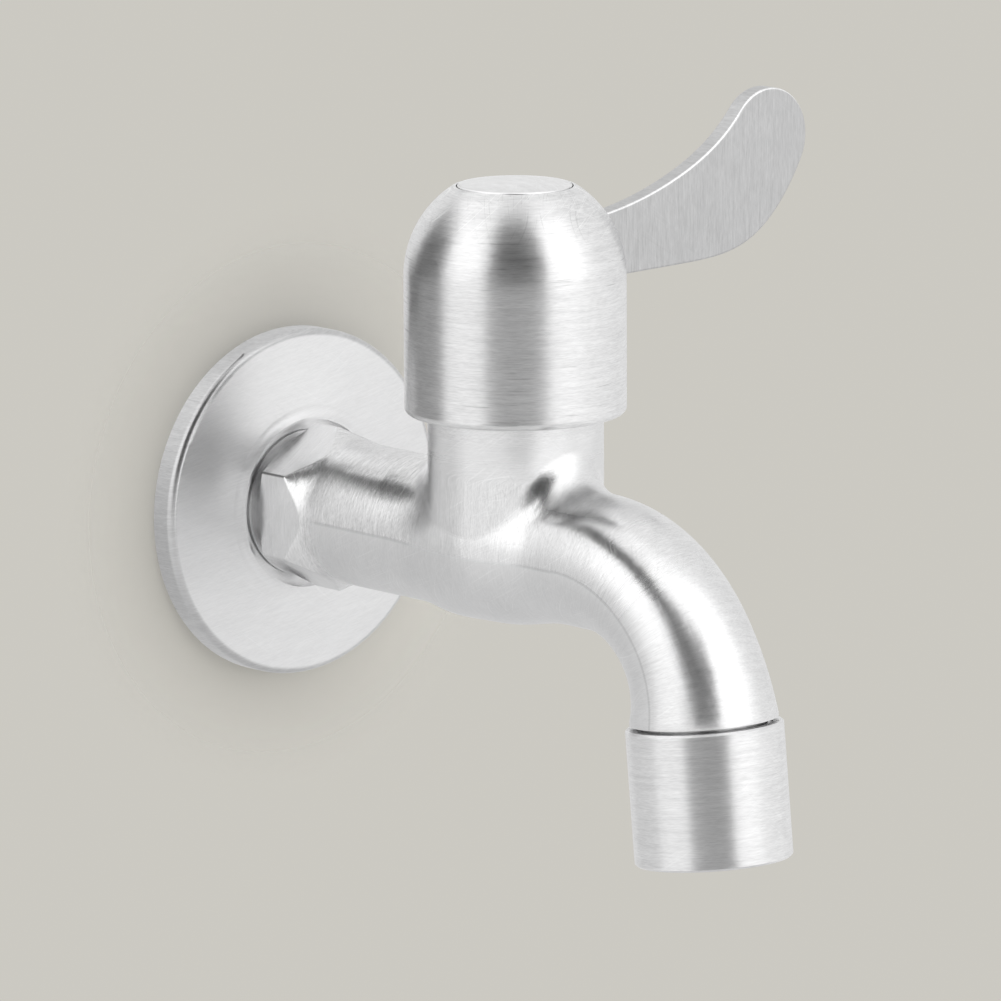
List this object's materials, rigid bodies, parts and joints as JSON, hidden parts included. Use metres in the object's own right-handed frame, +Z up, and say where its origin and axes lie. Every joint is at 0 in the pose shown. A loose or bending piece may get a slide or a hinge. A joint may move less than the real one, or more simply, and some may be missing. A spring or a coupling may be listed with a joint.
{
  "type": "wall mounted washing machine tap",
  "caption": "Wall bib tap in brushed stainless steel: round flange, hexagon inlet, domed quarter-turn handle with a flat lever and bent spout with a sleeve nozzle",
  "frame": {"origin": "centre of the inlet shank's axis in the plane of the wall", "axes": "+Y along the inlet axis into the wall, +Z up, +X to the right for someone facing the wall"},
  "size_m": [0.0921, 0.1296, 0.1143],
  "materials": {
    "satin_casting": "satin",
    "flange_steel": "brushed",
    "dome_steel": "brushed",
    "blade_steel": "brushed",
    "cap_steel": "brushed",
    "collar_steel": "brushed",
    "seal_rubber": "matte",
    "disc_ceramic": "polished",
    "valve_brass": "machined",
    "white_nylon": "matte",
    "aerator_plastic": "moulded",
    "spring_steel": "plain",
    "screw_steel": "plain",
    "screen_steel": "woven"
  },
  "bodies": {
    "body": {"tap_body": "satin_casting", "seat_seal": "seal_rubber", "fixed_disc": "disc_ceramic", "cartridge_barrel": "valve_brass", "cartridge_gasket": "seal_rubber", "thrust_washer": "white_nylon"},
    "flange": {"wall_flange": "flange_steel"},
    "handle": {"handle_dome": "dome_steel", "lever_blade": "blade_steel", "spline_insert": "white_nylon", "spring_washer": "spring_steel", "handle_screw": "screw_steel", "index_cap": "cap_steel", "cap_ring": "seal_rubber", "spindle": "valve_brass", "spindle_o_rings": "seal_rubber", "spindle_circlip": "spring_steel", "moving_disc": "disc_ceramic"},
    "aerator": {"aerator_housing": "aerator_plastic", "aerator_diffuser": "aerator_plastic", "aerator_screens": "screen_steel", "aerator_grid": "aerator_plastic", "nozzle_washer": "seal_rubber"},
    "nozzle": {"nozzle_collar": "collar_steel"}
  },
  "joints": [
    {"name": "lever_turn", "type": "hinge", "parent": "body", "child": "handle", "pos_m": [0, -0.0565, 0.03], "axis": [0, 0, 1], "range_deg": [-90, 0]},
    {"name": "flange_turn", "type": "hinge", "parent": "body", "child": "flange", "pos_m": [0, -0.002, 0], "axis": [0, 1, 0], "continuous": true},
    {"name": "nozzle_drop", "type": "slide", "parent": "body", "child": "aerator", "axis": [0, -0.1045, -0.9945], "range_m": [0, 0.009]},
    {"name": "nozzle_unscrew", "type": "hinge", "parent": "aerator", "child": "nozzle", "pos_m": [0, -0.10192, -0.03295], "axis": [0, -0.1045, -0.9945], "range_deg": [0, 3240]}
  ],
  "couplings": [
    {"joint": "nozzle_drop", "follows": "nozzle_unscrew", "m_per_rad": 0.00015915}
  ]
}
